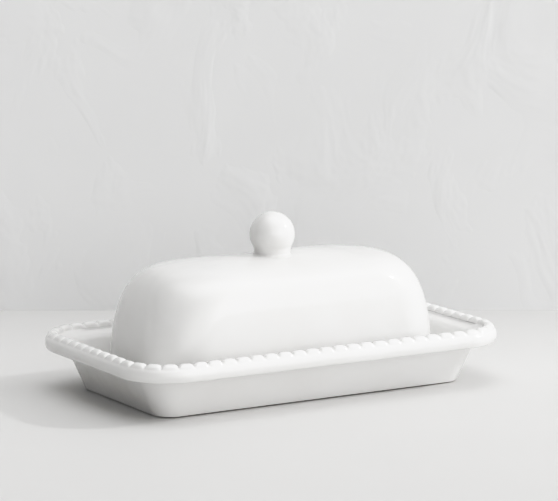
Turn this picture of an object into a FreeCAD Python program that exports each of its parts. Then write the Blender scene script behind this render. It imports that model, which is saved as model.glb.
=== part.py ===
"""Covered butter dish in glazed stoneware.

A footed tray with a beaded rim carries a loose, domed cover with a ball knob.
Units are millimetres. +Z is up, +X runs along the dish, and the origin is the centre of the resting plane.
A tray outline is named by its inset, the distance in from the widest edge of the rim.
"""
import FreeCAD
import Part
import math
import os

# Tray
TRAY_HALF_X = 105.0
TRAY_HALF_Y = 62.1
RIM_CORNER_RADIUS = 26.4
CORNER_TIGHTENING = 0.87         # the corner radius shrinks by this much per millimetre of inset
LEAST_CORNER_RADIUS = 9.5
FOOT_INSET = 19.2
FOOT_EDGE_WIDTH = 2.4            # the rounding between the wall and the resting face
FOOT_EDGE_HEIGHT = 1.5
FOOT_RING_WIDTH = 6.4
FOOT_RECESS_DEPTH = 1.8
WALL_TOP_INSET = 11.2
WALL_TOP_Z = 19.2
WALL_THICKNESS = 4.4
FLOOR_Z = 6.5
FLOOR_EDGE_INSET = 22.8
FLOOR_FILLET_HEIGHT = 2.0
FLANGE_UNDERSIDE_Z = 20.4
FLANGE_COVE_WIDTH = 2.0
FLANGE_SLOPE = 0.36              # fall of the flange's top per millimetre of inset
THROAT_INSET = 11.0              # where the flange turns down into the well
THROAT_DROP = 6.0                # height over which it turns
RIM_ROLL_HALF_WIDTH = 3.6
RIM_ROLL_HALF_HEIGHT = 3.4
RIM_CREST_WIDTH = 1.0
RIM_CREST_Z = 27.3
RIM_INNER_STEP = (2.6, 1.1)      # inset and drop from the crest to the flange's top

# Bead border
BEAD_COUNT = 78
BEAD_PATH_INSET = 4.1
BEAD_HALF_LENGTH = 3.3
BEAD_HALF_WIDTH = 2.6
BEAD_TOP_Z = 29.3

# Cover
COVER_HALF_X = 80.7
COVER_HALF_Y = 38.2
COVER_CORNER_RADIUS = 24.0
COVER_CORNER_GROWTH = 8.3        # extra corner radius at the top of the dome
COVER_REST_GAP = 0.15
COVER_TOP_Z = 64.1
COVER_THICKNESS = 4.5
COVER_CORNER_TIGHTENING = 0.6
LIP_EDGE_RADIUS = 1.5
LENGTH_PROFILE_POWERS = (1.95, 10.9)    # how square the dome's outline is along its length
WIDTH_PROFILE_POWERS = (6.9, 4.8)       # and across its width
DOME_STATIONS = (0.0, 0.3, 0.5, 0.65, 0.76, 0.84, 0.90, 0.94, 0.97, 0.985, 0.995, 0.999)

# Knob
KNOB_RADIUS = 11.13
KNOB_CENTRE_Z = 75.6
NECK_RADIUS = 9.1
NECK_FLARE_RADIUS = 1.6
NECK_FLARE_SINK = 0.2            # how far the flare's thin edge lies below the crown
KNOB_SEAT_DEPTH = 1.2            # how far the neck is let into the crown of the cover

CUT_OVERRUN = 1.0                # how far a hollow's cutting solid runs past the open side


def arc_points(centre, radii, start_deg, end_deg, count):
    """Points on an ellipse in the (inset, height) plane; 0 degrees points inward and 90 degrees points up."""
    points = []
    for i in range(count):
        angle = math.radians(start_deg + (end_deg - start_deg) * i / (count - 1))
        points.append((centre[0] + radii[0] * math.cos(angle), centre[1] + radii[1] * math.sin(angle)))
    return points


def rounded_rectangle(half_x, half_y, radius, z):
    """A closed horizontal outline: four lines joined by four quarter circles."""
    radius = min(radius, 0.96 * half_x, 0.96 * half_y)
    flat_x, flat_y = half_x - radius, half_y - radius
    edges = []
    corner_signs = [(1, 1), (-1, 1), (-1, -1), (1, -1)]
    last_point = FreeCAD.Vector(half_x, -flat_y, z)
    for quarter, (sign_x, sign_y) in enumerate(corner_signs):
        centre = FreeCAD.Vector(sign_x * flat_x, sign_y * flat_y, z)
        arc = []
        for step in range(3):
            angle = math.radians(90 * quarter + 45 * step)
            arc.append(centre + FreeCAD.Vector(radius * math.cos(angle), radius * math.sin(angle), 0))
        edges.append(Part.LineSegment(last_point, arc[0]).toShape())
        edges.append(Part.Arc(*arc).toShape())
        last_point = arc[2]
    return Part.Wire(edges)


def tray_outline(inset, z):
    radius = max(RIM_CORNER_RADIUS - CORNER_TIGHTENING * inset, LEAST_CORNER_RADIUS)
    return rounded_rectangle(TRAY_HALF_X - inset, TRAY_HALF_Y - inset, radius, z)


def loft(outlines):
    return Part.makeLoft(outlines, True, True)


def make_tray():
    wall_lean = (FOOT_INSET - WALL_TOP_INSET) / (WALL_TOP_Z - FOOT_EDGE_HEIGHT)

    def inner_wall_point(z):
        return WALL_TOP_INSET + wall_lean * (WALL_TOP_Z - z) + WALL_THICKNESS, z

    foot_centre = (FOOT_INSET + FOOT_EDGE_WIDTH, FOOT_EDGE_HEIGHT)
    roll_centre = (RIM_ROLL_HALF_WIDTH, RIM_CREST_Z - RIM_ROLL_HALF_HEIGHT)
    outside = arc_points(foot_centre, (FOOT_EDGE_WIDTH, FOOT_EDGE_HEIGHT), 270, 180, 4)
    outside.append((WALL_TOP_INSET, WALL_TOP_Z))
    outside.append((WALL_TOP_INSET - FLANGE_COVE_WIDTH, FLANGE_UNDERSIDE_Z))
    outside += arc_points(roll_centre, (RIM_ROLL_HALF_WIDTH, RIM_ROLL_HALF_HEIGHT), 268, 90, 9)
    body = loft([tray_outline(inset, z) for inset, z in outside])

    crest_inset = RIM_ROLL_HALF_WIDTH + RIM_CREST_WIDTH
    flange_inset = crest_inset + RIM_INNER_STEP[0]
    flange_z = RIM_CREST_Z - RIM_INNER_STEP[1]
    throat_z = flange_z - FLANGE_SLOPE * (THROAT_INSET - flange_inset)
    wall_start = inner_wall_point(throat_z - THROAT_DROP)
    throat_middle = ((THROAT_INSET + wall_start[0]) / 2, throat_z - 0.37 * THROAT_DROP)
    fillet_top = inner_wall_point(FLOOR_Z + FLOOR_FILLET_HEIGHT)
    fillet_middle = (0.6 * fillet_top[0] + 0.4 * FLOOR_EDGE_INSET, FLOOR_Z + 0.35 * FLOOR_FILLET_HEIGHT)
    inside = [(FLOOR_EDGE_INSET, FLOOR_Z), fillet_middle, fillet_top, wall_start, throat_middle]
    inside += [(THROAT_INSET, throat_z), (flange_inset, flange_z), (crest_inset, RIM_CREST_Z)]
    inside.append((crest_inset, RIM_CREST_Z + CUT_OVERRUN))
    well = loft([tray_outline(inset, z) for inset, z in inside])

    recess_inset = FOOT_INSET + FOOT_RING_WIDTH
    recess_lean = FOOT_RECESS_DEPTH / 2
    recess = loft([tray_outline(recess_inset, -CUT_OVERRUN),
                   tray_outline(recess_inset, FOOT_RECESS_DEPTH / 3),
                   tray_outline(recess_inset + recess_lean, FOOT_RECESS_DEPTH)])
    return body.cut(well).cut(recess)


def path_point(distance):
    """Place and direction on the bead path, measured anticlockwise from the middle of the front."""
    half_x = TRAY_HALF_X - BEAD_PATH_INSET
    half_y = TRAY_HALF_Y - BEAD_PATH_INSET
    radius = RIM_CORNER_RADIUS - CORNER_TIGHTENING * BEAD_PATH_INSET
    flat_x, flat_y = half_x - radius, half_y - radius
    quarter_arc = math.pi * radius / 2
    sides = [(0, -half_y, 0, flat_x), (half_x, -flat_y, 90, 2 * flat_y), (flat_x, half_y, 180, 2 * flat_x),
             (-half_x, flat_y, 270, 2 * flat_y), (-flat_x, -half_y, 360, flat_x)]
    for x, y, heading, length in sides:
        direction = math.radians(heading)
        if distance <= length:
            return x + distance * math.cos(direction), y + distance * math.sin(direction), heading
        distance -= length
        if distance <= quarter_arc:
            turn = distance / radius
            centre_x = x + length * math.cos(direction) - radius * math.sin(direction)
            centre_y = y + length * math.sin(direction) + radius * math.cos(direction)
            return (centre_x + radius * math.sin(direction + turn),
                    centre_y - radius * math.cos(direction + turn),
                    heading + math.degrees(turn))
        distance -= quarter_arc
    return 0, -half_y, 0


def path_length():
    radius = RIM_CORNER_RADIUS - CORNER_TIGHTENING * BEAD_PATH_INSET
    half_sum = TRAY_HALF_X + TRAY_HALF_Y - 2 * BEAD_PATH_INSET
    return 4 * (half_sum - 2 * radius) + 2 * math.pi * radius


def make_bead():
    """A bead lying along X: half an ellipse turned about its long axis."""
    ellipse = Part.Ellipse(FreeCAD.Vector(0, 0, 0), BEAD_HALF_LENGTH, BEAD_HALF_WIDTH)
    curve = ellipse.toShape(0, math.pi)
    start, end = curve.valueAt(curve.FirstParameter), curve.valueAt(curve.LastParameter)
    axis_line = Part.LineSegment(end, start).toShape()
    face = Part.Face(Part.Wire([curve, axis_line]))
    return face.revolve(FreeCAD.Vector(0, 0, 0), FreeCAD.Vector(1, 0, 0), 360)


def make_bead_border():
    pitch = path_length() / BEAD_COUNT
    beads = []
    for i in range(BEAD_COUNT):
        x, y, heading = path_point((i + 0.5) * pitch)
        bead = make_bead()
        bead.rotate(FreeCAD.Vector(0, 0, 0), FreeCAD.Vector(0, 0, 1), heading)
        bead.translate(FreeCAD.Vector(x, y, BEAD_TOP_Z - BEAD_HALF_WIDTH))
        beads.append(bead)
    return Part.makeCompound(beads)


def cover_outline(shrink, z):
    """The straight lower part of the cover, drawn in by shrink."""
    radius = COVER_CORNER_RADIUS - COVER_CORNER_TIGHTENING * shrink
    return rounded_rectangle(COVER_HALF_X - shrink, COVER_HALF_Y - shrink, radius, z)


def dome_outlines(shrink, base_z, top_z):
    """Outlines of the dome, drawn in by shrink, at the fractions of its height in DOME_STATIONS."""
    outlines = []
    for t in DOME_STATIONS:
        length_share = (1 - t ** LENGTH_PROFILE_POWERS[0]) ** (1 / LENGTH_PROFILE_POWERS[1])
        width_share = (1 - t ** WIDTH_PROFILE_POWERS[0]) ** (1 / WIDTH_PROFILE_POWERS[1])
        radius = COVER_CORNER_RADIUS - COVER_CORNER_TIGHTENING * shrink + COVER_CORNER_GROWTH * t ** 2
        outlines.append(rounded_rectangle((COVER_HALF_X - shrink) * length_share,
                                          (COVER_HALF_Y - shrink) * width_share,
                                          radius, base_z + (top_z - base_z) * t))
    return outlines


def make_cover():
    lip_z = FLOOR_Z + COVER_REST_GAP + LIP_EDGE_RADIUS
    lip_points = arc_points((LIP_EDGE_RADIUS, lip_z), (LIP_EDGE_RADIUS, LIP_EDGE_RADIUS), 270, 180, 4)[:-1]
    outer = [cover_outline(inset, z) for inset, z in lip_points]
    outer += dome_outlines(0.0, lip_z, COVER_TOP_Z)
    inner = [cover_outline(COVER_THICKNESS - LIP_EDGE_RADIUS, lip_z - LIP_EDGE_RADIUS - CUT_OVERRUN)]
    inner += [cover_outline(COVER_THICKNESS - inset, z) for inset, z in lip_points]
    inner += dome_outlines(COVER_THICKNESS, lip_z, COVER_TOP_Z - COVER_THICKNESS)
    return loft(outer).cut(loft(inner))


def make_knob():
    """A ball on a short neck that flares into the crown of the cover, turned about the vertical axis."""
    neck_angle = math.asin(NECK_RADIUS / KNOB_RADIUS)
    neck_top_z = KNOB_CENTRE_Z - KNOB_RADIUS * math.cos(neck_angle)
    seat_z = COVER_TOP_Z - KNOB_SEAT_DEPTH
    flare_z = COVER_TOP_Z - NECK_FLARE_SINK
    flare_middle = NECK_FLARE_RADIUS * (1 - math.sqrt(0.5))

    def point(radius, z):
        return FreeCAD.Vector(radius, 0, z)

    ball = Part.Arc(point(0, KNOB_CENTRE_Z + KNOB_RADIUS), point(KNOB_RADIUS, KNOB_CENTRE_Z),
                    point(NECK_RADIUS, neck_top_z)).toShape()
    neck = Part.LineSegment(point(NECK_RADIUS, neck_top_z),
                            point(NECK_RADIUS, flare_z + NECK_FLARE_RADIUS)).toShape()
    flare = Part.Arc(point(NECK_RADIUS, flare_z + NECK_FLARE_RADIUS),
                     point(NECK_RADIUS + flare_middle, flare_z + flare_middle),
                     point(NECK_RADIUS + NECK_FLARE_RADIUS, flare_z)).toShape()
    side = Part.LineSegment(point(NECK_RADIUS + NECK_FLARE_RADIUS, flare_z),
                            point(NECK_RADIUS + NECK_FLARE_RADIUS, seat_z)).toShape()
    base = Part.LineSegment(point(NECK_RADIUS + NECK_FLARE_RADIUS, seat_z), point(0, seat_z)).toShape()
    axis = Part.LineSegment(point(0, seat_z), point(0, KNOB_CENTRE_Z + KNOB_RADIUS)).toShape()
    face = Part.Face(Part.Wire([ball, neck, flare, side, base, axis]))
    return face.revolve(FreeCAD.Vector(0, 0, 0), FreeCAD.Vector(0, 0, 1), 360)


def main():
    os.makedirs("parts", exist_ok=True)
    nodes = {"tray": make_tray(), "bead_border": make_bead_border(),
             "cover": make_cover(), "knob": make_knob()}
    for name, shape in nodes.items():
        print(name, "valid:", shape.isValid(), "solids:", len(shape.Solids), "mm3:", round(shape.Volume))
        shape.exportStep("parts/" + name + ".step")


main()
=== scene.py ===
"""Looks of the covered butter dish: white glazed stoneware, a beaded tray, a domed cover and a ball knob.

The dish's shapes are worked out in millimetres, and grid_mesh turns them into metres. The frame, the stage,
the lights and the materials are in metres, apart from the camera's lens and sensor. A place on the tray is an
inset, the distance in from the widest edge of the rim, and a height. The rings of the tray, the bead border
and the cover follow rounded rectangles, and the knob's are circles.
"""
import bpy
import math
import numpy as np
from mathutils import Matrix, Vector, noise


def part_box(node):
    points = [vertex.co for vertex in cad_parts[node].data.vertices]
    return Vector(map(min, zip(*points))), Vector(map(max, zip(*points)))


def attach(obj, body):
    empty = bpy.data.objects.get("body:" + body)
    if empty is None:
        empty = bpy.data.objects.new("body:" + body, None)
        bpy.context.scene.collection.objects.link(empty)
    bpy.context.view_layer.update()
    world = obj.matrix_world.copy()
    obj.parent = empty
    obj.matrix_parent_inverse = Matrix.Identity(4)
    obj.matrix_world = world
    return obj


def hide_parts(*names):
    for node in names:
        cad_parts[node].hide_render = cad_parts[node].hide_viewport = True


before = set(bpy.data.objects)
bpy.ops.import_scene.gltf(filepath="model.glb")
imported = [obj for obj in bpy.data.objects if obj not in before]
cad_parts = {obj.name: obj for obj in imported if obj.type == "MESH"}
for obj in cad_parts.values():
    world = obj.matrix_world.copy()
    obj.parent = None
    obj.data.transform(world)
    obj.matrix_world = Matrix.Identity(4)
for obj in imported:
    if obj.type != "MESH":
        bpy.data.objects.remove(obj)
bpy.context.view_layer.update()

MM = 0.001
tray_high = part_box("tray")[1]
bead_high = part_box("bead_border")[1]
cover_low, cover_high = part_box("cover")
knob_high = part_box("knob")[1]

# Tray, in millimetres of inset and height
TRAY_HALF_X = tray_high.x / MM
TRAY_HALF_Y = tray_high.y / MM
RIM_TOP_MM = tray_high.z / MM
RIM_CORNER_RADIUS_MM = 26.4
CORNER_TIGHTENING = 0.87
LEAST_CORNER_RADIUS_MM = 9.5
# inset, height, fillet radius: from the middle of the underside, round the rim, to the middle of the floor
TRAY_PROFILE = [
    (58.0, 1.8, 0.0),
    (26.5, 1.8, 0.9),
    (25.6, 0.0, 0.7),
    (22.9, 0.0, 0.2),
    (22.7, 0.45, 0.2),
    (19.3, 0.45, 0.3),
    (10.66, 20.4, 2.5),
    (1.2, 20.4, 1.5),
    (0.0, 23.2, 5.0),
    (0.8, 26.6, 2.6),
    (4.5, RIM_TOP_MM + 0.15, 2.4),
    (7.6, 26.05, 4.0),
    (13.45, 23.95, 6.0),
    (21.34, 6.5, 2.4),
    (58.0, 6.5, 0.0),
]

# Beads. Their band runs over the rim between the points of the tray's profile nearest to its two ends
BEAD_COUNT = 78
BEAD_PATH_INSET_MM = 4.1
BEAD_TOP_MM = bead_high.z / MM
BEAD_PHASE = -0.11
BEAD_HALF_WIDTH_MM = 2.6
NOTCH_SHARPNESS = 3.4
FLANK_HEIGHT_MM = 0.6
FLANK_WIDTH_MM = 6.2
FLANK_INNER_WIDTH_MM = 2.4
FILL_SOFTNESS_MM = 0.12
BEAD_SIZE_SPREAD = 0.05
BAND_OUTER_END = (0.5, 21.8)
BAND_INNER_END = (9.0, 25.5)
BAND_ROWS = 31
BAND_FADE_MM = 0.9
BAND_SINK_MM = 0.05
BAND_THICKNESS_MM = 0.9
STATIONS_PER_BEAD = 16

# Cover
COVER_HALF_X = cover_high.x / MM
COVER_HALF_Y = cover_high.y / MM
COVER_BASE_MM = cover_low.z / MM
COVER_TOP_MM = cover_high.z / MM
COVER_THICKNESS_MM = 4.5
COVER_CORNER_RADIUS_MM = 24.0
COVER_CORNER_GROWTH_MM = 8.3
COVER_CORNER_TIGHTENING = 0.6
COVER_CORNER_WIDEST_SHARE = 0.97
COVER_CORNER_LIMIT_POWER = 8.0
COVER_LIP_RADIUS_MM = 1.5
LENGTH_PROFILE_POWERS = (1.95, 10.9)
WIDTH_PROFILE_POWERS = (6.9, 4.8)
CROWN_DOME_MM = 3.4
CROWN_DOME_HALF_WIDTH_MM = 31.0
CROWN_DOME_HALF_LENGTH_MM = 38.0
CROWN_SAG_MM = 1.8
CROWN_SAG_HALF_LENGTH_MM = 32.0
CROWN_SAG_HALF_WIDTH_MM = 36.0

# Knob
KNOB_RADIUS_MM = knob_high.x / MM
KNOB_CENTRE_MM = knob_high.z / MM - KNOB_RADIUS_MM
NECK_RADIUS_MM = 9.0
NECK_BLEND_RAD = 0.12
NECK_FLARE_MM = 1.3
NECK_EDGE_SINK_MM = 0.05
KNOB_SEAT_MM = 1.2


# ---------------------------------------------------------------- outlines and profiles

def outline(half_x, half_y, radius, stations):
    """Points and outward normals of a rounded rectangle, counter-clockwise from the left end of the front.

    A station's whole part picks one of eight stretches, even for straight and odd for corner, and its
    fraction is the share of that stretch."""
    stretch = np.floor(stations).astype(int)
    share = stations - stretch
    quarter = stretch // 2
    heading = quarter * (math.pi / 2)
    ahead = np.stack([np.cos(heading), np.sin(heading)], axis=-1)
    outward = np.stack([np.sin(heading), -np.cos(heading)], axis=-1)
    reach = np.where(quarter % 2 == 0, half_y, half_x)[:, None]
    flat = np.where(quarter % 2 == 0, half_x, half_y)[:, None] - radius
    straight = (stretch % 2 == 0)[:, None]
    along = np.where(straight[:, 0], 2 * share - 1, 1.0)[:, None]
    turn = np.where(straight[:, 0], 0.0, share * math.pi / 2)[:, None]
    normal = outward * np.cos(turn) + ahead * np.sin(turn)
    return outward * (reach - radius) + ahead * flat * along + radius * normal, normal


def even_stations(long_steps, short_steps, corner_steps):
    steps = [long_steps, corner_steps, short_steps, corner_steps] * 2
    return np.concatenate([stretch + np.arange(n) / n for stretch, n in enumerate(steps)])


def tray_outline(inset, stations):
    radius = max(RIM_CORNER_RADIUS_MM - CORNER_TIGHTENING * inset, LEAST_CORNER_RADIUS_MM)
    half_x, half_y = TRAY_HALF_X - inset, TRAY_HALF_Y - inset
    return outline(half_x, half_y, min(radius, 0.96 * half_y), stations)


def filleted(corners, arc_step_deg=7.0, longest=3.0):
    """A polyline through the corners with each one rounded to its radius, and long runs divided."""
    points = [np.array(corners[0][:2])]
    for i in range(1, len(corners) - 1):
        before, corner, after = (np.array(corners[j][:2]) for j in (i - 1, i, i + 1))
        back = (before - corner) / np.linalg.norm(before - corner)
        on = (after - corner) / np.linalg.norm(after - corner)
        half_angle = math.acos(float(np.clip(back @ on, -1, 1))) / 2
        turn = math.pi - 2 * half_angle
        radius = corners[i][2]
        bisector = (back + on) / np.linalg.norm(back + on)
        centre = corner + bisector * radius / math.sin(half_angle)
        start = corner + back * radius / math.tan(half_angle) - centre
        side = math.copysign(1.0, -back[0] * on[1] + back[1] * on[0])
        count = max(2, math.ceil(math.degrees(turn) / arc_step_deg))
        for k in range(count + 1):
            a = side * turn * k / count
            points.append(centre + np.array([start[0] * math.cos(a) - start[1] * math.sin(a),
                                             start[0] * math.sin(a) + start[1] * math.cos(a)]))
    points.append(np.array(corners[-1][:2]))
    divided = [points[0]]
    for a, b in zip(points, points[1:]):
        count = max(1, math.ceil(np.linalg.norm(b - a) / longest))
        divided += [a + (b - a) * k / count for k in range(1, count + 1)]
    return np.array(divided)


# ---------------------------------------------------------------- meshes

def grid_mesh(name, rings, closed=False):
    """A smooth mesh through equal rings of points in millimetres, capped at its ends or closed round."""
    rings = np.array(rings)
    count, around = rings.shape[:2]
    index = np.arange(count * around).reshape(count, around)
    lower = index if closed else index[:-1]
    upper = np.roll(index, -1, axis=0) if closed else index[1:]
    quads = np.stack([lower, np.roll(lower, -1, axis=1), np.roll(upper, -1, axis=1), upper], axis=-1)
    faces = quads.reshape(-1, 4).tolist()
    if not closed:
        faces.append(index[0, ::-1].tolist())
        faces.append(index[-1].tolist())
    mesh = bpy.data.meshes.new(name)
    mesh.from_pydata((rings.reshape(-1, 3) * MM).tolist(), [], faces)
    mesh.validate()
    mesh.shade_smooth()
    piece = bpy.data.objects.new(name, mesh)
    bpy.context.scene.collection.objects.link(piece)
    return piece


def at_height(points, z):
    """Plan points in millimetres raised to a height, or to one height each."""
    return np.concatenate([points, np.broadcast_to(np.reshape(z, (-1, 1)), (len(points), 1))], axis=1)


def make_tray():
    stations = even_stations(48, 26, 26)
    rings = [at_height(tray_outline(inset, stations)[0], z) for inset, z in filleted(TRAY_PROFILE)]
    return grid_mesh("tray_body", rings)


def bead_stations(per_bead):
    """Stations spaced evenly along the bead path from the middle of the front, and places in pitches."""
    radius = RIM_CORNER_RADIUS_MM - CORNER_TIGHTENING * BEAD_PATH_INSET_MM
    flat_x = TRAY_HALF_X - BEAD_PATH_INSET_MM - radius
    flat_y = TRAY_HALF_Y - BEAD_PATH_INSET_MM - radius
    corner = math.pi * radius / 2
    ends = np.concatenate([[0.0], np.cumsum([2 * flat_x, corner, 2 * flat_y, corner] * 2)])
    places = np.arange(BEAD_COUNT * per_bead) / per_bead
    pitch = ends[-1] / BEAD_COUNT
    start = flat_x + BEAD_PHASE * pitch
    return np.interp((start + places * pitch) % ends[-1], ends, np.arange(9.0)) % 8.0, places


def ease(share):
    share = min(max(share, 0.0), 1.0)
    return share * share * (3 - 2 * share)


def bead_relief(across, places):
    """Height of the bead border over the plain rim at one distance inward of the crest.

    Each bead is a low cap. The glaze fills the gaps between caps up to a smooth flank, which runs farther
    down on the outside."""
    bead = np.floor(places).astype(int)
    unevenness = np.array([noise.noise(Vector((i * 3.7, 1.3, 0.0))) for i in range(BEAD_COUNT)])
    full_height = (BEAD_TOP_MM - RIM_TOP_MM) * (1 + BEAD_SIZE_SPREAD * unevenness[bead])
    along = np.abs(2 * (places - bead) - 1)
    share = min(abs(across) / BEAD_HALF_WIDTH_MM, 1.0)
    cap = full_height * np.sqrt((1 - share ** 2) * (1 - along ** NOTCH_SHARPNESS))
    reach = FLANK_WIDTH_MM if across < 0 else FLANK_INNER_WIDTH_MM
    flank = FLANK_HEIGHT_MM * (1 - ease(abs(across) / reach))
    return 0.5 * (cap + flank + np.sqrt((cap - flank) ** 2 + FILL_SOFTNESS_MM ** 2) - FILL_SOFTNESS_MM)


def make_bead_border():
    profile = filleted(TRAY_PROFILE, arc_step_deg=3.0, longest=0.3)
    outer, inner = (np.argmin(np.hypot(*(profile - end).T)) for end in (BAND_OUTER_END, BAND_INNER_END))
    band = profile[outer:inner + 1]
    travel = np.concatenate([[0.0], np.cumsum(np.linalg.norm(np.diff(band, axis=0), axis=1))])
    crest = np.interp(BEAD_PATH_INSET_MM, band[:, 0], travel)
    places_across = np.linspace(0.0, travel[-1], BAND_ROWS)
    base = np.stack([np.interp(places_across, travel, band[:, k]) for k in range(2)], axis=1)
    slope = np.gradient(base, axis=0)
    slope /= np.linalg.norm(slope, axis=1)[:, None]
    normals = np.stack([-slope[:, 1], slope[:, 0]], axis=1)
    stations, places = bead_stations(STATIONS_PER_BEAD)
    rings = []
    for point, normal, place in zip(base, normals, places_across):
        plan, outward = tray_outline(point[0], stations)
        fade = ease(min(place, travel[-1] - place) / BAND_FADE_MM)
        height = fade * bead_relief(place - crest, places) - BAND_SINK_MM * (1 - fade)
        raised = plan - outward * (normal[0] * height)[:, None]
        rings.append(at_height(raised, point[1] + normal[1] * height))
    for point, normal in zip(base[::-3], normals[::-3]):
        plan, outward = tray_outline(point[0], stations)
        sunk = normal * BAND_THICKNESS_MM
        rings.append(at_height(plan + outward * sunk[0], point[1] - sunk[1]))
    return grid_mesh("bead_border_glazed", rings, closed=True)


def dome_outline(t, shrink, stations):
    """Outline of the cover at a fraction of its height, drawn in by shrink.

    The corner radius is a smooth lesser of the wanted one and the most that the width has room for."""
    length_share = (1 - t ** LENGTH_PROFILE_POWERS[0]) ** (1 / LENGTH_PROFILE_POWERS[1])
    width_share = (1 - t ** WIDTH_PROFILE_POWERS[0]) ** (1 / WIDTH_PROFILE_POWERS[1])
    half_x, half_y = (COVER_HALF_X - shrink) * length_share, (COVER_HALF_Y - shrink) * width_share
    wanted = COVER_CORNER_RADIUS_MM - COVER_CORNER_TIGHTENING * shrink + COVER_CORNER_GROWTH_MM * t ** 2
    most = COVER_CORNER_WIDEST_SHARE * half_y
    power = COVER_CORNER_LIMIT_POWER
    radius = (wanted ** -power + most ** -power) ** (-1 / power)
    return outline(half_x, half_y, radius, stations)[0]


def crown_rise(points):
    """Height that the fired crown adds: a gentle dome across it, sunk a little round the knob."""
    x, y = np.abs(points[:, 0]), np.abs(points[:, 1])
    across = np.maximum(1 - (y / CROWN_DOME_HALF_WIDTH_MM) ** 2, 0) ** 2
    dome = CROWN_DOME_MM * across / (1 + (x / CROWN_DOME_HALF_LENGTH_MM) ** 4)
    sag = CROWN_SAG_MM * np.exp(-(x / CROWN_SAG_HALF_LENGTH_MM) ** 2 - (y / CROWN_SAG_HALF_WIDTH_MM) ** 2)
    return dome - sag


def shell_rings(shrink, base, top, stations):
    """Rings of one side of the cover from its lip up to the middle of the crown."""
    last = 0.9988
    steps = 1 - (1 - np.linspace(0, 1 - (1 - last) ** (1 / 3), 64)) ** 3
    rings = [at_height(dome_outline(t, shrink, stations), base + (top - base) * t) for t in steps]
    edge = dome_outline(last, shrink, stations)
    top_shares = np.linspace(1, 0.04, 16)[1:]
    for share in top_shares:
        fall = (top - base) * (1 - last) * share ** WIDTH_PROFILE_POWERS[1]
        rings.append(at_height(edge * share, top - fall))
    for ring, t in zip(rings, list(steps) + [1.0] * len(top_shares)):
        ring[:, 2] += crown_rise(ring) * t ** 6
    return rings


def make_cover():
    stations = even_stations(44, 22, 30)
    lip = COVER_LIP_RADIUS_MM
    base = COVER_BASE_MM + lip
    inner = shell_rings(COVER_THICKNESS_MM, base, COVER_TOP_MM - COVER_THICKNESS_MM, stations)
    outer = shell_rings(0.0, base, COVER_TOP_MM, stations)
    round_edge = []
    for degrees in np.linspace(0, 90, 7)[1:]:
        fall = lip * math.sin(math.radians(degrees))
        draw = lip * (1 - math.cos(math.radians(degrees)))
        round_edge.append((draw, base - fall))
    lip_line = [(COVER_THICKNESS_MM - draw, z) for draw, z in round_edge] + round_edge[::-1]
    lip_rings = [at_height(dome_outline(0.0, shrink, stations), z) for shrink, z in lip_line]
    return grid_mesh("cover_shell", inner[::-1] + lip_rings + outer)


def make_knob():
    """A ball on a short waist that spreads out over the crown of the cover."""
    crown = COVER_TOP_MM + float(crown_rise(np.zeros((1, 3)))[0])
    leave = math.asin(NECK_RADIUS_MM / KNOB_RADIUS_MM) + NECK_BLEND_RAD
    angles = np.linspace(0.02, math.pi - leave, 46)
    ball = KNOB_RADIUS_MM * np.stack([np.sin(angles), np.cos(angles)], axis=1)
    profile = [(r, KNOB_CENTRE_MM + z) for r, z in ball]
    start_r, start_z = profile[-1]
    narrowing = start_r - NECK_RADIUS_MM
    waist_z = crown + NECK_FLARE_MM
    run = start_z - waist_z
    slope = run / math.tan(leave)
    for share in np.linspace(0, 1, 12)[1:]:
        # Leaves the ball along its slope and stands upright at the waist
        inward = slope * share + (3 * narrowing - 2 * slope) * share ** 2
        inward += (slope - 2 * narrowing) * share ** 3
        profile.append((start_r - inward, start_z - run * share))
    for degrees in np.linspace(0, 90, 16)[1:]:
        angle = math.radians(degrees)
        sink = NECK_EDGE_SINK_MM * degrees / 90
        profile.append((NECK_RADIUS_MM + NECK_FLARE_MM * (1 - math.cos(angle)),
                        waist_z - NECK_FLARE_MM * math.sin(angle) - sink))
    profile += [(r, crown - KNOB_SEAT_MM) for r in (NECK_RADIUS_MM + NECK_FLARE_MM, 2.0)]
    around = np.linspace(0, 2 * math.pi, 112, endpoint=False)
    circle = np.stack([np.cos(around), np.sin(around)], axis=1)
    return grid_mesh("knob_ball", [at_height(circle * r, z) for r, z in profile[::-1]])


# ---------------------------------------------------------------- materials

def node(tree, kind, inputs=None, **settings):
    made = tree.nodes.new(kind)
    for key, value in settings.items():
        setattr(made, key, value)
    for key, value in (inputs or {}).items():
        if isinstance(value, bpy.types.NodeSocket):
            tree.links.new(value, made.inputs[key])
        else:
            made.inputs[key].default_value = value
    return made


def new_material(name):
    material = bpy.data.materials.new(name)
    material.use_nodes = True
    tree = material.node_tree
    shader = next(n for n in tree.nodes if n.type == "BSDF_PRINCIPLED")
    return material, tree, shader


def dress(piece, material):
    piece.data.materials.clear()
    piece.data.materials.append(material)


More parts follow.
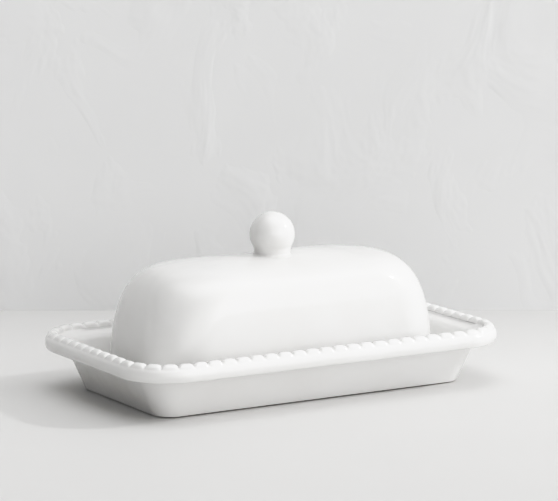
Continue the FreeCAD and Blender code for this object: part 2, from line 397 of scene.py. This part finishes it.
def glaze_material(name, bare_foot_and_gap_shade=False):
    """Opaque white glaze over pale stoneware: glossy, softly uneven, with a few tiny iron specks."""
    material, tree, shader = new_material(name)
    place = node(tree, "ShaderNodeTexCoord").outputs["Object"]

    cloud = node(tree, "ShaderNodeTexNoise", {"Vector": place, "Scale": 22.0, "Detail": 3.0,
                                              "Roughness": 0.5})
    tint = node(tree, "ShaderNodeValToRGB", {"Fac": cloud.outputs["Fac"]})
    tint.color_ramp.elements[0].position = 0.3
    tint.color_ramp.elements[0].color = (0.75, 0.745, 0.735, 1)
    tint.color_ramp.elements[1].position = 0.7
    tint.color_ramp.elements[1].color = (0.78, 0.778, 0.772, 1)

    cells = node(tree, "ShaderNodeTexVoronoi", {"Vector": place, "Scale": 120.0})
    pick = node(tree, "ShaderNodeSeparateColor", {"Color": cells.outputs["Color"]})
    rare = node(tree, "ShaderNodeMath", {0: pick.outputs["Red"], 1: 0.035}, operation="LESS_THAN")
    small = node(tree, "ShaderNodeMapRange", {"Value": cells.outputs["Distance"], "From Min": 0.012,
                                              "From Max": 0.03, "To Min": 0.35, "To Max": 0.0})
    speck = node(tree, "ShaderNodeMath", {0: rare.outputs[0], 1: small.outputs["Result"]},
                 operation="MULTIPLY")
    colour = node(tree, "ShaderNodeMix", {"Factor": speck.outputs[0], "A": tint.outputs["Color"],
                                          "B": (0.42, 0.37, 0.32, 1)}, data_type="RGBA")

    swell = node(tree, "ShaderNodeTexNoise", {"Vector": place, "Scale": 45.0, "Detail": 2.0})
    ripple = node(tree, "ShaderNodeTexNoise", {"Vector": place, "Scale": 420.0, "Detail": 2.0})
    low = node(tree, "ShaderNodeBump", {"Height": swell.outputs["Fac"], "Strength": 0.35,
                                        "Distance": 0.0012})
    fine = node(tree, "ShaderNodeBump", {"Height": ripple.outputs["Fac"], "Strength": 0.12,
                                         "Distance": 0.0001, "Normal": low.outputs["Normal"]})
    gloss = node(tree, "ShaderNodeMapRange", {"Value": cloud.outputs["Fac"], "To Min": 0.05,
                                              "To Max": 0.10})

    tree.links.new(colour.outputs["Result"], shader.inputs["Base Color"])
    tree.links.new(gloss.outputs["Result"], shader.inputs["Roughness"])
    tree.links.new(fine.outputs["Normal"], shader.inputs["Normal"])
    shader.inputs["IOR"].default_value = 1.5
    if bare_foot_and_gap_shade:
        add_bare_foot_and_gap_shade(tree, shader, place, colour, gloss)
    return material


def add_bare_foot_and_gap_shade(tree, shader, place, colour, gloss):
    """Leaves the resting face of the foot ring as unglazed fired stoneware, darker than the glaze, and paints
    the same dark colour halfway up the shallow step outside it as painted shade in the gap under the tray.
    """
    height = node(tree, "ShaderNodeSeparateXYZ", {"Vector": place}).outputs["Z"]
    grain = node(tree, "ShaderNodeTexNoise", {"Vector": place, "Scale": 900.0, "Detail": 4.0})
    # Painted shade: the mask is full on the resting face and reaches half strength on the step at 0.45 mm,
    # darkening the gap under the tray where shade falls
    bare_and_gap_shade = node(tree, "ShaderNodeMapRange", {"Value": height, "From Min": 0.0003, "From Max": 0.0006,
                                             "To Min": 1.0, "To Max": 0.0})
    # Unglazed stoneware colour, set dark enough to double as painted shade in the gap under the foot
    clay_and_gap_shade = node(tree, "ShaderNodeMix", {"Factor": grain.outputs["Fac"], "A": (0.40, 0.36, 0.31, 1),
                                        "B": (0.53, 0.48, 0.42, 1)}, data_type="RGBA")
    mixed = node(tree, "ShaderNodeMix", {"Factor": bare_and_gap_shade.outputs["Result"], "A": colour.outputs["Result"],
                                         "B": clay_and_gap_shade.outputs["Result"]}, data_type="RGBA")
    dull = node(tree, "ShaderNodeMix", {"Factor": bare_and_gap_shade.outputs["Result"], "A": gloss.outputs["Result"],
                                        "B": 0.85})
    tree.links.new(mixed.outputs["Result"], shader.inputs["Base Color"])
    tree.links.new(dull.outputs["Result"], shader.inputs["Roughness"])


# ---------------------------------------------------------------- the stage

CAMERA_HEADING = math.radians(30.84)
CAMERA_FALL = math.radians(9.64)
CAMERA_AIM = Vector((0.0086, 0.0078, 0.0654))
CAMERA_DISTANCE = 1.5367
CAMERA_LENS_MM = 199.5
TABLE_HALF_SIZE = 6.0
WALL_DISTANCE = 0.1962
WALL_HALF_WIDTH = 3.0
WALL_HEIGHT = 0.36

FORWARD = Vector((math.sin(CAMERA_HEADING) * math.cos(CAMERA_FALL),
                  math.cos(CAMERA_HEADING) * math.cos(CAMERA_FALL),
                  -math.sin(CAMERA_FALL)))
LEVEL = Vector((FORWARD.x, FORWARD.y, 0.0)).normalized()
SIDEWAYS = Vector((LEVEL.y, -LEVEL.x, 0.0))


def make_camera():
    data = bpy.data.cameras.new("camera")
    data.sensor_width = 36.0
    data.lens = CAMERA_LENS_MM
    camera = bpy.data.objects.new("camera", data)
    camera.location = CAMERA_AIM - FORWARD * CAMERA_DISTANCE
    camera.rotation_mode = "QUATERNION"
    camera.rotation_quaternion = FORWARD.to_track_quat("-Z", "Y")
    bpy.context.scene.collection.objects.link(camera)
    bpy.context.scene.camera = camera


def plane(name, corners, material):
    mesh = bpy.data.meshes.new(name)
    mesh.from_pydata([tuple(c) for c in corners], [], [(0, 1, 2, 3)])
    piece = bpy.data.objects.new(name, mesh)
    bpy.context.scene.collection.objects.link(piece)
    dress(piece, material)


def table_material():
    material, tree, shader = new_material("pale_table")
    place = node(tree, "ShaderNodeTexCoord").outputs["Object"]
    cloud = node(tree, "ShaderNodeTexNoise", {"Vector": place, "Scale": 9.0, "Detail": 5.0})
    tint = node(tree, "ShaderNodeMix", {"Factor": cloud.outputs["Fac"], "A": (0.651, 0.648, 0.642, 1),
                                        "B": (0.676, 0.672, 0.665, 1)}, data_type="RGBA")
    grain = node(tree, "ShaderNodeTexNoise", {"Vector": place, "Scale": 700.0, "Detail": 3.0})
    bump = node(tree, "ShaderNodeBump", {"Height": grain.outputs["Fac"], "Strength": 0.1,
                                         "Distance": 0.0002})
    tree.links.new(tint.outputs["Result"], shader.inputs["Base Color"])
    tree.links.new(bump.outputs["Normal"], shader.inputs["Normal"])
    shader.inputs["Roughness"].default_value = 0.6
    return material


def wall_material():
    """Pale trowelled plaster, seen only from the dish's side so that the wall never hides the dish."""
    material, tree, shader = new_material("plaster_wall")
    place = node(tree, "ShaderNodeTexCoord").outputs["Object"]
    upright = node(tree, "ShaderNodeMapping", {"Vector": place, "Scale": (1.0, 1.0, 0.7)})
    cloud = node(tree, "ShaderNodeTexNoise", {"Vector": place, "Scale": 9.0, "Detail": 4.0,
                                              "Distortion": 0.6})
    tint = node(tree, "ShaderNodeMix", {"Factor": cloud.outputs["Fac"], "A": (0.73, 0.731, 0.732, 1),
                                        "B": (0.785, 0.786, 0.786, 1)}, data_type="RGBA")
    strokes = node(tree, "ShaderNodeTexNoise", {"Vector": upright.outputs["Vector"], "Scale": 26.0,
                                                "Detail": 3.0, "Roughness": 0.5, "Distortion": 0.7})
    ridges = node(tree, "ShaderNodeMapRange", {"Value": strokes.outputs["Fac"], "From Min": 0.5,
                                               "From Max": 0.8})
    bump = node(tree, "ShaderNodeBump", {"Height": ridges.outputs["Result"], "Strength": 0.28,
                                         "Distance": 0.002})
    tree.links.new(tint.outputs["Result"], shader.inputs["Base Color"])
    tree.links.new(bump.outputs["Normal"], shader.inputs["Normal"])
    shader.inputs["Roughness"].default_value = 0.9
    side = node(tree, "ShaderNodeNewGeometry").outputs["Backfacing"]
    clear = node(tree, "ShaderNodeBsdfTransparent")
    output = next(n for n in tree.nodes if n.type == "OUTPUT_MATERIAL")
    mixed = node(tree, "ShaderNodeMixShader", {0: side, 1: shader.outputs[0], 2: clear.outputs[0]})
    tree.links.new(mixed.outputs[0], output.inputs["Surface"])
    return material


def make_stage():
    size = TABLE_HALF_SIZE
    corners = [(-size, -size, 0), (size, -size, 0), (size, size, 0), (-size, size, 0)]
    plane("table_top", corners, table_material())
    foot = LEVEL * WALL_DISTANCE
    left, right = foot - SIDEWAYS * WALL_HALF_WIDTH, foot + SIDEWAYS * WALL_HALF_WIDTH
    up = Vector((0, 0, WALL_HEIGHT))
    plane("plaster_wall", [left, right, right + up, left + up], wall_material())


def studio_direction(azimuth_deg, elevation_deg):
    """A direction from the dish; azimuth 0 is towards the camera and 90 is the camera's right."""
    azimuth, elevation = math.radians(azimuth_deg), math.radians(elevation_deg)
    level = SIDEWAYS * math.sin(azimuth) - LEVEL * math.cos(azimuth)
    return level * math.cos(elevation) + Vector((0, 0, math.sin(elevation)))


LAMP_AIM = Vector((0, 0, 0.04))
# name, azimuth, elevation, distance, width, height, watts
LAMPS = [
    ("key", 90, 32.5, 1.5, 0.09, 0.09, 6.7),
]
# azimuth, elevation, sharpness, brightness of the soft glow of the room round the dish
GLOW = [
    (0, 8, 14.0, 1.98),
    (45, 8, 14.0, 2.4),
    (45, 25, 4.0, 0.45),
    (100, 30, 20.0, 3.1),
    (0, 88, 6.0, 2.35),
]
ROOM_GREY = 0.02
# The pale horizon all round, and the height of a unit direction at which it has faded away
HORIZON_GREY = 0.4
HORIZON_FADE = 0.2


def make_lamps():
    for name, azimuth, elevation, distance, width, height, watts in LAMPS:
        towards = studio_direction(azimuth, elevation)
        data = bpy.data.lights.new(name, "AREA")
        data.shape = "RECTANGLE"
        data.size = width
        data.size_y = height
        data.energy = watts
        lamp = bpy.data.objects.new(name, data)
        lamp.location = LAMP_AIM + towards * distance
        lamp.rotation_mode = "QUATERNION"
        lamp.rotation_quaternion = (-towards).to_track_quat("-Z", "Y")
        bpy.context.scene.collection.objects.link(lamp)


def make_room():
    """The room as a smooth glow: wide soft lobes of light over an even grey with a paler horizon."""
    world = bpy.data.worlds.new("room")
    world.use_nodes = True
    tree = world.node_tree
    place = node(tree, "ShaderNodeTexCoord").outputs["Generated"]
    height = node(tree, "ShaderNodeSeparateXYZ", {"Vector": place}).outputs["Z"]
    haze = node(tree, "ShaderNodeMapRange", {"Value": height, "From Max": HORIZON_FADE,
                                             "To Min": ROOM_GREY + HORIZON_GREY, "To Max": ROOM_GREY},
                interpolation_type="SMOOTHSTEP")
    total = haze.outputs["Result"]
    for azimuth, elevation, sharpness, brightness in GLOW:
        facing = node(tree, "ShaderNodeVectorMath", {0: place}, operation="DOT_PRODUCT")
        facing.inputs[1].default_value = studio_direction(azimuth, elevation)
        ahead = node(tree, "ShaderNodeMath", {0: facing.outputs["Value"], 1: 0.0}, operation="MAXIMUM")
        lobe = node(tree, "ShaderNodeMath", {0: ahead.outputs[0], 1: sharpness}, operation="POWER")
        total = node(tree, "ShaderNodeMath", {0: lobe.outputs[0], 1: brightness, 2: total},
                     operation="MULTIPLY_ADD").outputs[0]
    glow = tree.nodes["Background"]
    glow.inputs["Color"].default_value = (1.0, 1.0, 1.0, 1.0)
    tree.links.new(total, glow.inputs["Strength"])
    bpy.context.scene.world = world


# Camera response: scene brightness and what it becomes, with a soft toe and a soft shoulder
RESPONSE_WHITE = 1.6
RESPONSE = [
    (0.0, 0.0),
    (0.12, 0.075),
    (0.24, 0.155),
    (0.33, 0.275),
    (0.5, 0.485),
    (0.75, 0.745),
    (0.9, 0.865),
    (1.0, 0.915),
    (1.25, 0.965),
    (RESPONSE_WHITE, 0.99),
]


def set_camera_response():
    view = bpy.context.scene.view_settings
    view.view_transform = "Standard"
    view.use_curve_mapping = True
    mapping = view.curve_mapping
    mapping.white_level = (RESPONSE_WHITE, RESPONSE_WHITE, RESPONSE_WHITE)
    points = mapping.curves[3].points
    points[0].location = (0.0, 0.0)
    points[1].location = (1.0, RESPONSE[-1][1])
    for scene_value, shown in RESPONSE[1:-1]:
        points.new(scene_value / RESPONSE_WHITE, shown)
    mapping.update()


# ---------------------------------------------------------------- the dish

def build():
    tray_glaze = glaze_material("white_glaze_tray", bare_foot_and_gap_shade=True)
    cover_glaze = glaze_material("white_glaze_cover")
    pieces = [
        (make_tray(), "tray", "tray", "tray_glaze", tray_glaze),
        (make_bead_border(), "tray", "bead_border", "tray_glaze", tray_glaze),
        (make_cover(), "cover", "cover", "cover_glaze", cover_glaze),
        (make_knob(), "cover", "knob", "cover_glaze", cover_glaze),
    ]
    for piece, body, cad_node, slot, material in pieces:
        dress(piece, material)
        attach(piece, body)
        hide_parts(cad_node)


make_camera()
make_stage()
make_lamps()
make_room()
build()
set_camera_response()
